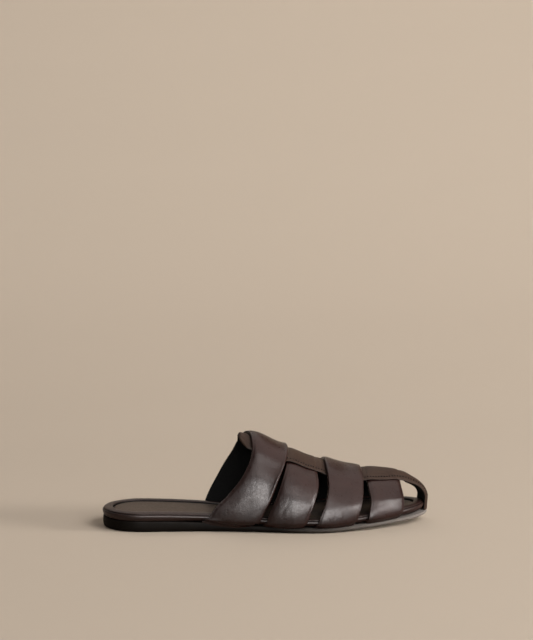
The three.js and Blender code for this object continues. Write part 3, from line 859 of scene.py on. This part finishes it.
# Points of the long band: place on the path, distance aside, and share of the skin
def long_points(path, step, aside, skin):
    path_x, path_z, dx, dz = (np.interp(step, np.arange(len(row)), row) for row in path)
    x = np.minimum(path_x, CAP_FRONT)
    curl = ease(CAP_BACK, CAP_FRONT - CAP_MARGIN, x)
    half = long_half(x, aside)
    lift = long_lift(x)
    fall = (1 - curl) * side_drop(x, aside, lift) * dx + curl * aside**2 / (2 * TOE_RADIUS)
    across = np.clip(aside / half, -1, 1)
    from_edge = half - np.abs(aside)
    groove = GROOVE_DEPTH * np.exp(-(((from_edge - STITCH_INSET) / GROOVE_WIDE) ** 2))
    end = np.clip((path_x - LONG_BAND_BACK) / LONG_BAND_EDGE, 0, 1)
    tip = np.sqrt(1 - (1 - end) ** 2) * (1 - END_BLUNT) + END_BLUNT
    thick = long_thick(across) * (1 - CAP_THIN * curl)
    waver = LONG_WAVER * unevenness(x, ASIDE_GIRTH * aside)
    stand_off = EDGE_STAND_OFF * np.minimum(lift / LONG_BAND_THICK, 1) * across**STAND_OFF_POWER * (1 - skin)
    height = lift - fall + thick * (0.5 + (skin - 0.5) * tip) + stand_off
    height = height + np.where(skin > OUTER_SKIN, waver - groove, 0)
    return np.stack([path_x - dz * height, crest_shift(x) + aside, path_z + dx * height], -1)


# The long band as points by path step and ring place
def long_band(path, ring):
    step = np.arange(len(path[0]))[:, None]
    share = 2 * ring["across"] - 1
    half = long_half(np.minimum(path[0], CAP_FRONT)[:, None], share)
    nose = 0.5 * LONG_BAND_EDGE
    aside = share * (half - nose) + nose * ring["nose"]
    skin = np.broadcast_to(ring["skin"], aside.shape)
    return long_points(path, np.broadcast_to(step, aside.shape), aside, skin)


# A new node material with its shader
def new_material(name):
    material = bpy.data.materials.new(name)
    material.use_nodes = True
    return material, material.node_tree.nodes["Principled BSDF"]


# A node with its settings
def add_node(tree, kind, inputs=None, **settings):
    node = tree.nodes.new(kind)
    for key, value in settings.items():
        setattr(node, key, value)
    for key, value in (inputs or {}).items():
        node.inputs[key].default_value = value
    return node


# A number that follows a texture between two ends
def mapped(tree, source, low, high, start=0.3, end=0.7):
    ends = {"From Min": start, "From Max": end, "To Min": low, "To Max": high}
    node = add_node(tree, "ShaderNodeMapRange", ends)
    tree.links.new(source, node.inputs["Value"])
    return node.outputs[0]


# A colour that follows a share from 0 to 1 between two ends
def blended(tree, share, dark, light):
    ends = {MIX_FIRST: (*dark, 1), MIX_SECOND: (*light, 1)}
    node = add_node(tree, "ShaderNodeMix", ends, data_type="RGBA")
    tree.links.new(share, node.inputs[0])
    return node.outputs[MIX_RESULT]


# A bump that follows a texture, on top of another bump where one is given
def bumped(tree, texture, strength, distance, below=None):
    node = add_node(tree, "ShaderNodeBump", {"Strength": strength, "Distance": distance})
    tree.links.new(texture, node.inputs["Height"])
    if below:
        tree.links.new(below.outputs[0], node.inputs["Normal"])
    return node


# Smooth leather: mottled colour, fine pores, faint wrinkles and uneven shine
def leather(name):
    look = LEATHERS[name]
    material, shader = new_material(name)
    tree = material.node_tree
    place = add_node(tree, "ShaderNodeTexCoord").outputs["Object"]
    mottle = add_node(tree, "ShaderNodeTexNoise", {"Scale": 55, "Detail": 5, "Roughness": 0.6})
    cells = {"Scale": look["pores"], "Randomness": 1.0}
    pores = add_node(tree, "ShaderNodeTexVoronoi", cells, feature="SMOOTH_F1")
    lines = {"Scale": 480, "Detail": 6, "Roughness": 0.62, "Distortion": 0.9}
    wrinkle = add_node(tree, "ShaderNodeTexNoise", lines)
    for texture in (mottle, pores, wrinkle):
        tree.links.new(place, texture.inputs["Vector"])
    tint = blended(tree, mapped(tree, mottle.outputs["Fac"], 0, 1), look["dark"], look["light"])
    tree.links.new(tint, shader.inputs["Base Color"])
    rough = mapped(tree, wrinkle.outputs["Fac"], look["rough"] - SMOOTHER, look["rough"] + ROUGHER)
    tree.links.new(rough, shader.inputs["Roughness"])
    fold = bumped(tree, wrinkle.outputs["Fac"], strength=0.5, distance=0.00025)
    grain = bumped(tree, pores.outputs["Distance"], strength=look["depth"], distance=0.0002, below=fold)
    tree.links.new(grain.outputs[0], shader.inputs["Normal"])
    shader.inputs["Coat Weight"].default_value = look["coat"]
    shader.inputs["Coat Roughness"].default_value = COAT_ROUGH
    shader.inputs["Specular IOR Level"].default_value = look["shine"]
    return material


# Dense rubber: dark under the heel, with painted light along the forefoot, a fine tooth and ribs on the
# underside
def rubber(name):
    material, shader = new_material(name)
    tree = material.node_tree
    place = add_node(tree, "ShaderNodeTexCoord").outputs["Object"]
    mottle = add_node(tree, "ShaderNodeTexNoise", {"Scale": 90, "Detail": 6, "Roughness": 0.65})
    spot = add_node(tree, "ShaderNodeSeparateXYZ")
    tree.links.new(place, spot.inputs[0])
    tooth = add_node(tree, "ShaderNodeTexNoise", {"Scale": 1500, "Detail": 3, "Roughness": 0.6})
    ribs = add_node(tree, "ShaderNodeTexWave", {"Scale": 70, "Distortion": 0.0})
    for texture in (mottle, tooth, ribs):
        tree.links.new(place, texture.inputs["Vector"])
    # The forefoot's paler colour is painted light, not a colour of the rubber
    lit_from = sole_low.x + PAINTED_LIGHT_FROM * MM
    lit_full = sole_low.x + PAINTED_LIGHT_FULL * MM
    painted_light = mapped(tree, spot.outputs["X"], 0, 1, lit_from, lit_full)
    tree.links.new(blended(tree, painted_light, SOLE_DARK, SOLE_PAINTED_LIGHT), shader.inputs["Base Color"])
    tree.links.new(mapped(tree, mottle.outputs["Fac"], 0.46, 0.6), shader.inputs["Roughness"])
    facing = add_node(tree, "ShaderNodeSeparateXYZ")
    tree.links.new(add_node(tree, "ShaderNodeNewGeometry").outputs["Normal"], facing.inputs[0])
    under = mapped(tree, facing.outputs["Z"], 1, 0, start=-0.98, end=-0.9)
    tread = bumped(tree, ribs.outputs["Fac"], strength=1.0, distance=0.0008)
    tree.links.new(under, tread.inputs["Strength"])
    fine = bumped(tree, tooth.outputs["Fac"], strength=0.25, distance=0.00012, below=tread)
    tree.links.new(fine.outputs[0], shader.inputs["Normal"])
    shader.inputs["Specular IOR Level"].default_value = SOLE_SHINE
    return material


# Plain paper of the floor and backdrop
def paper(name):
    material, shader = new_material(name)
    shader.inputs["Base Color"].default_value = (*PAPER_COLOR, 1)
    shader.inputs["Roughness"].default_value = 0.9
    shader.inputs["Specular IOR Level"].default_value = 0.1
    return material


upper_leather = leather("upper_leather")
strap_leather = leather("strap_leather")
footbed_leather = leather("footbed_leather")
insole_leather = leather("insole_leather")
lining = leather("lining")
thread_with_hole_shade = leather("thread_with_hole_shade")
sole_rubber = rubber("sole_rubber")


# The upper: five bands in one piece, leather outside and lining inside; a mark is a place in its materials
def make_upper(path):
    points = []
    faces = []
    marks = []
    band_ring = section_ring(BAND_ACROSS, BAND_LINED)
    # The long band's edge is near-black past its lining: painted shadow under its edge
    long_ring = section_ring(LONG_ACROSS, LONG_LINED_AND_SHADOW)
    grids = [(cross_band(name, band_ring), band_ring, 0) for name in BANDS]
    grids.append((long_band(path, long_ring), long_ring, 2))
    for grid, ring, skin in grids:
        sections, count = grid.shape[:2]
        new_faces = swept_faces(sections, count, len(points))
        points.extend(grid.reshape(-1, 3))
        faces.extend(new_faces)
        lined = ring["lining"]
        per_ring = [1 if lined[i] and lined[(i + 1) % count] else skin for i in range(count)]
        marks.extend(per_ring * (sections - 1))
        marks.extend([1] * (len(new_faces) - count * (sections - 1)))
    piece = add_piece("upper_bands", np.array(points), faces, [upper_leather, lining, strap_leather], marks)
    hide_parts("upper")
    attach(piece, "root")


# Stitch rows along both edges of the long band, one small near-black spindle each, which also paints the
# shade of the stitch holes
def make_stitches(path):
    path_x, path_z = path[:2]
    length = np.concatenate([[0], np.cumsum(np.hypot(np.diff(path_x), np.diff(path_z)))])
    first = np.interp(STITCH_FROM, path_x[:LONG_STEPS], length[:LONG_STEPS])
    marks = np.arange(first, length[-STITCH_STOP], STITCH_PITCH)
    steps = np.interp(marks, length, np.arange(len(length)))
    turns = np.radians(np.arange(STITCH_SIDES) * 360 / STITCH_SIDES)
    points = []
    faces = []
    for side in (-1, 1):
        x = np.minimum(np.interp(steps, np.arange(len(length)), path_x), CAP_FRONT)
        aside = side * (long_half(x, side) - STITCH_INSET)
        ones = np.ones_like(steps)
        spots = long_points(path, steps, aside, ones)
        ahead = long_points(path, steps + STEP_AHEAD, aside, ones) - spots
        across = long_points(path, steps, aside + STEP_ASIDE, ones) - spots
        for spot, forward, sideways in zip(spots, ahead, across):
            forward = forward / np.linalg.norm(forward)
            upward = np.cross(forward, sideways)
            upward /= np.linalg.norm(upward)
            sideways = np.cross(upward, forward)
            start = len(points)
            for row in STITCH_PROFILE:
                for turn in turns:
                    aim = sideways * math.cos(turn) + upward * (STITCH_FLAT * math.sin(turn))
                    points.append(spot + forward * row["along"] + aim * row["radius"] + upward * STITCH_RAISE)
            faces.extend(swept_faces(len(STITCH_PROFILE), len(turns), start))
    piece = add_piece("long_band_stitches", np.array(points), faces, [thread_with_hole_shade])
    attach(piece, "root")


# The footbed with its rolled side, seam line and rim; near-black lining paints the shade in the seam and on
# the rim's inner wall
def make_footbed():
    steps = profile_steps(FOOTBED_ROLL, ROLL_DIVISION)
    insets = column(FOOTBED_ROLL, "step", steps, "inset")
    rises = column(FOOTBED_ROLL, "step", steps, "rise") * FOOTBED_THICK
    rings = []
    roll = column(SOLE_DEPTH, "along", PLAN[:, 0] / LENGTH, "roll")
    for step, inset, rise in zip(steps, insets, rises):
        share = roll if step < WIDEST_STEP else 1.0
        low = max(1 - step / WIDEST_STEP, 0)
        rings.append(level_ring(
            footbed_inset(PLAN[:, 0]) + inset * share,
            lambda x: sole_top(x) + GAP + rise - low * (sole_thick(x) - sole_shown(x)),
        ))
    faces = ring_faces(len(rings), len(PLAN))
    # The marked steps take the lining as painted shade
    marks = ring_marks(FOOTBED_ROLL, steps, faces)
    piece = add_piece("footbed_wrap", np.concatenate(rings), faces, [footbed_leather, lining], marks)
    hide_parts("footbed")
    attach(piece, "root")


# The inlaid panel with its turned-down edge, darker there as painted groove shade
def make_insole():
    steps = profile_steps(INSOLE_EDGE, EDGE_DIVISION)
    seat = FOOTBED_THICK - RECESS + GAP
    rings = []
    for step in steps:
        inset = RIM + float(column(INSOLE_EDGE, "step", step, "inset"))
        height = seat + INSOLE_THICK * float(column(INSOLE_EDGE, "step", step, "height"))
        rings.append(level_ring(footbed_inset(PLAN[:, 0]) + inset, lambda x: sole_top(x) + GAP + height))
    faces = ring_faces(len(rings), len(PLAN))
    # The marked edge takes the darker footbed leather as painted shade
    marks = ring_marks(INSOLE_EDGE, steps, faces)
    piece = add_piece("insole_panel", np.concatenate(rings), faces, [insole_leather, footbed_leather], marks)
    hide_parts("insole")
    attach(piece, "root")


# The sole with its rounded edge
def make_outsole():
    steps = profile_steps(SOLE_EDGE, EDGE_DIVISION)
    bevel = column(SOLE_DEPTH, "along", PLAN[:, 0] / LENGTH, "bevel")
    rings = []
    for step in steps:
        inset = column(SOLE_EDGE, "step", step, "inset") + bevel * column(SOLE_EDGE, "step", step, "bevel")
        rise = float(column(SOLE_EDGE, "step", step, "rise"))
        rings.append(level_ring(inset, lambda x: sole_bottom(x) + sole_shown(x) * rise))
    faces = ring_faces(len(rings), len(PLAN))
    piece = add_piece("outsole_rubber", np.concatenate(rings), faces, [sole_rubber])
    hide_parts("outsole")
    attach(piece, "root")


# Floor that sweeps up into a backdrop
def make_stage():
    line = [(FLOOR_FRONT, 0.0)]
    for turn in np.radians(np.linspace(0, 90, SWEEP_STEPS)):
        line.append((SWEEP_FROM + SWEEP_RADIUS * math.sin(turn), SWEEP_RADIUS * (1 - math.cos(turn))))
    line.append((SWEEP_FROM + SWEEP_RADIUS, WALL_TOP))
    points = [(x, y, z) for y, z in line for x in (-WALL_HALF, WALL_HALF)]
    faces = [(2 * i, 2 * i + 1, 2 * i + 3, 2 * i + 2) for i in range(len(line) - 1)]
    mesh = bpy.data.meshes.new("backdrop")
    mesh.from_pydata(points, [], faces)
    mesh.materials.append(paper("backdrop_paper"))
    for face in mesh.polygons:
        face.use_smooth = True
    stage = bpy.data.objects.new("backdrop", mesh)
    bpy.context.collection.objects.link(stage)


# The soft lights, which the camera itself does not see, and the even light of the room
def make_lights():
    for name, row in LIGHTS.items():
        lamp = bpy.data.lights.new(name, "AREA")
        lamp.shape = "RECTANGLE"
        lamp.size, lamp.size_y = row["size"]
        lamp.energy = row["watts"]
        lamp.color = row["color"]
        light = bpy.data.objects.new(name, lamp)
        light.location = row["place"]
        aim = Vector(row["aim"]) - Vector(row["place"])
        light.rotation_euler = aim.to_track_quat("-Z", "Y").to_euler()
        light.visible_camera = False
        light.visible_diffuse = row["adds"] != "glossy"
        light.visible_glossy = row["adds"] != "diffuse"
        bpy.context.collection.objects.link(light)
    world = bpy.data.worlds.new("studio")
    world.use_nodes = True
    room = world.node_tree.nodes["Background"]
    room.inputs["Color"].default_value = (*ROOM_COLOR, 1)
    room.inputs["Strength"].default_value = ROOM_LIGHT
    bpy.context.scene.world = world


# Camera at the photograph's angle, placed so that the heel falls on its pixel
def make_camera():
    yaw = math.radians(CAMERA_YAW)
    pitch = math.radians(CAMERA_PITCH)
    forward = Vector((-math.sin(yaw) * math.cos(pitch), math.cos(yaw) * math.cos(pitch), -math.sin(pitch)))
    right = Vector((math.cos(yaw), math.sin(yaw), 0))
    upward = right.cross(forward)
    distance = CAMERA_DISTANCE * MM
    per_pixel = MM_PER_PIXEL * MM
    heel = Vector((sole_low.x, HEEL_LINE, sole_low.z))
    aside = (HEEL_PIXEL[0] - IMAGE_WIDTH / 2) * per_pixel
    below = (HEEL_PIXEL[1] - IMAGE_HEIGHT / 2) * per_pixel
    place = heel - forward * distance - right * aside + upward * below
    lens = bpy.data.cameras.new("camera")
    lens.sensor_fit = "HORIZONTAL"
    lens.sensor_width = SENSOR_WIDTH
    lens.lens = distance / per_pixel * lens.sensor_width / IMAGE_WIDTH
    camera = bpy.data.objects.new("camera", lens)
    turn = Matrix((right, upward, -forward)).transposed()
    camera.matrix_world = Matrix.Translation(place) @ turn.to_4x4()
    bpy.context.collection.objects.link(camera)
    bpy.context.scene.camera = camera


bpy.context.scene.view_settings.view_transform = "Standard"
long_band_path = long_path()
make_upper(long_band_path)
make_stitches(long_band_path)
make_footbed()
make_insole()
make_outsole()
make_stage()
make_lights()
make_camera()
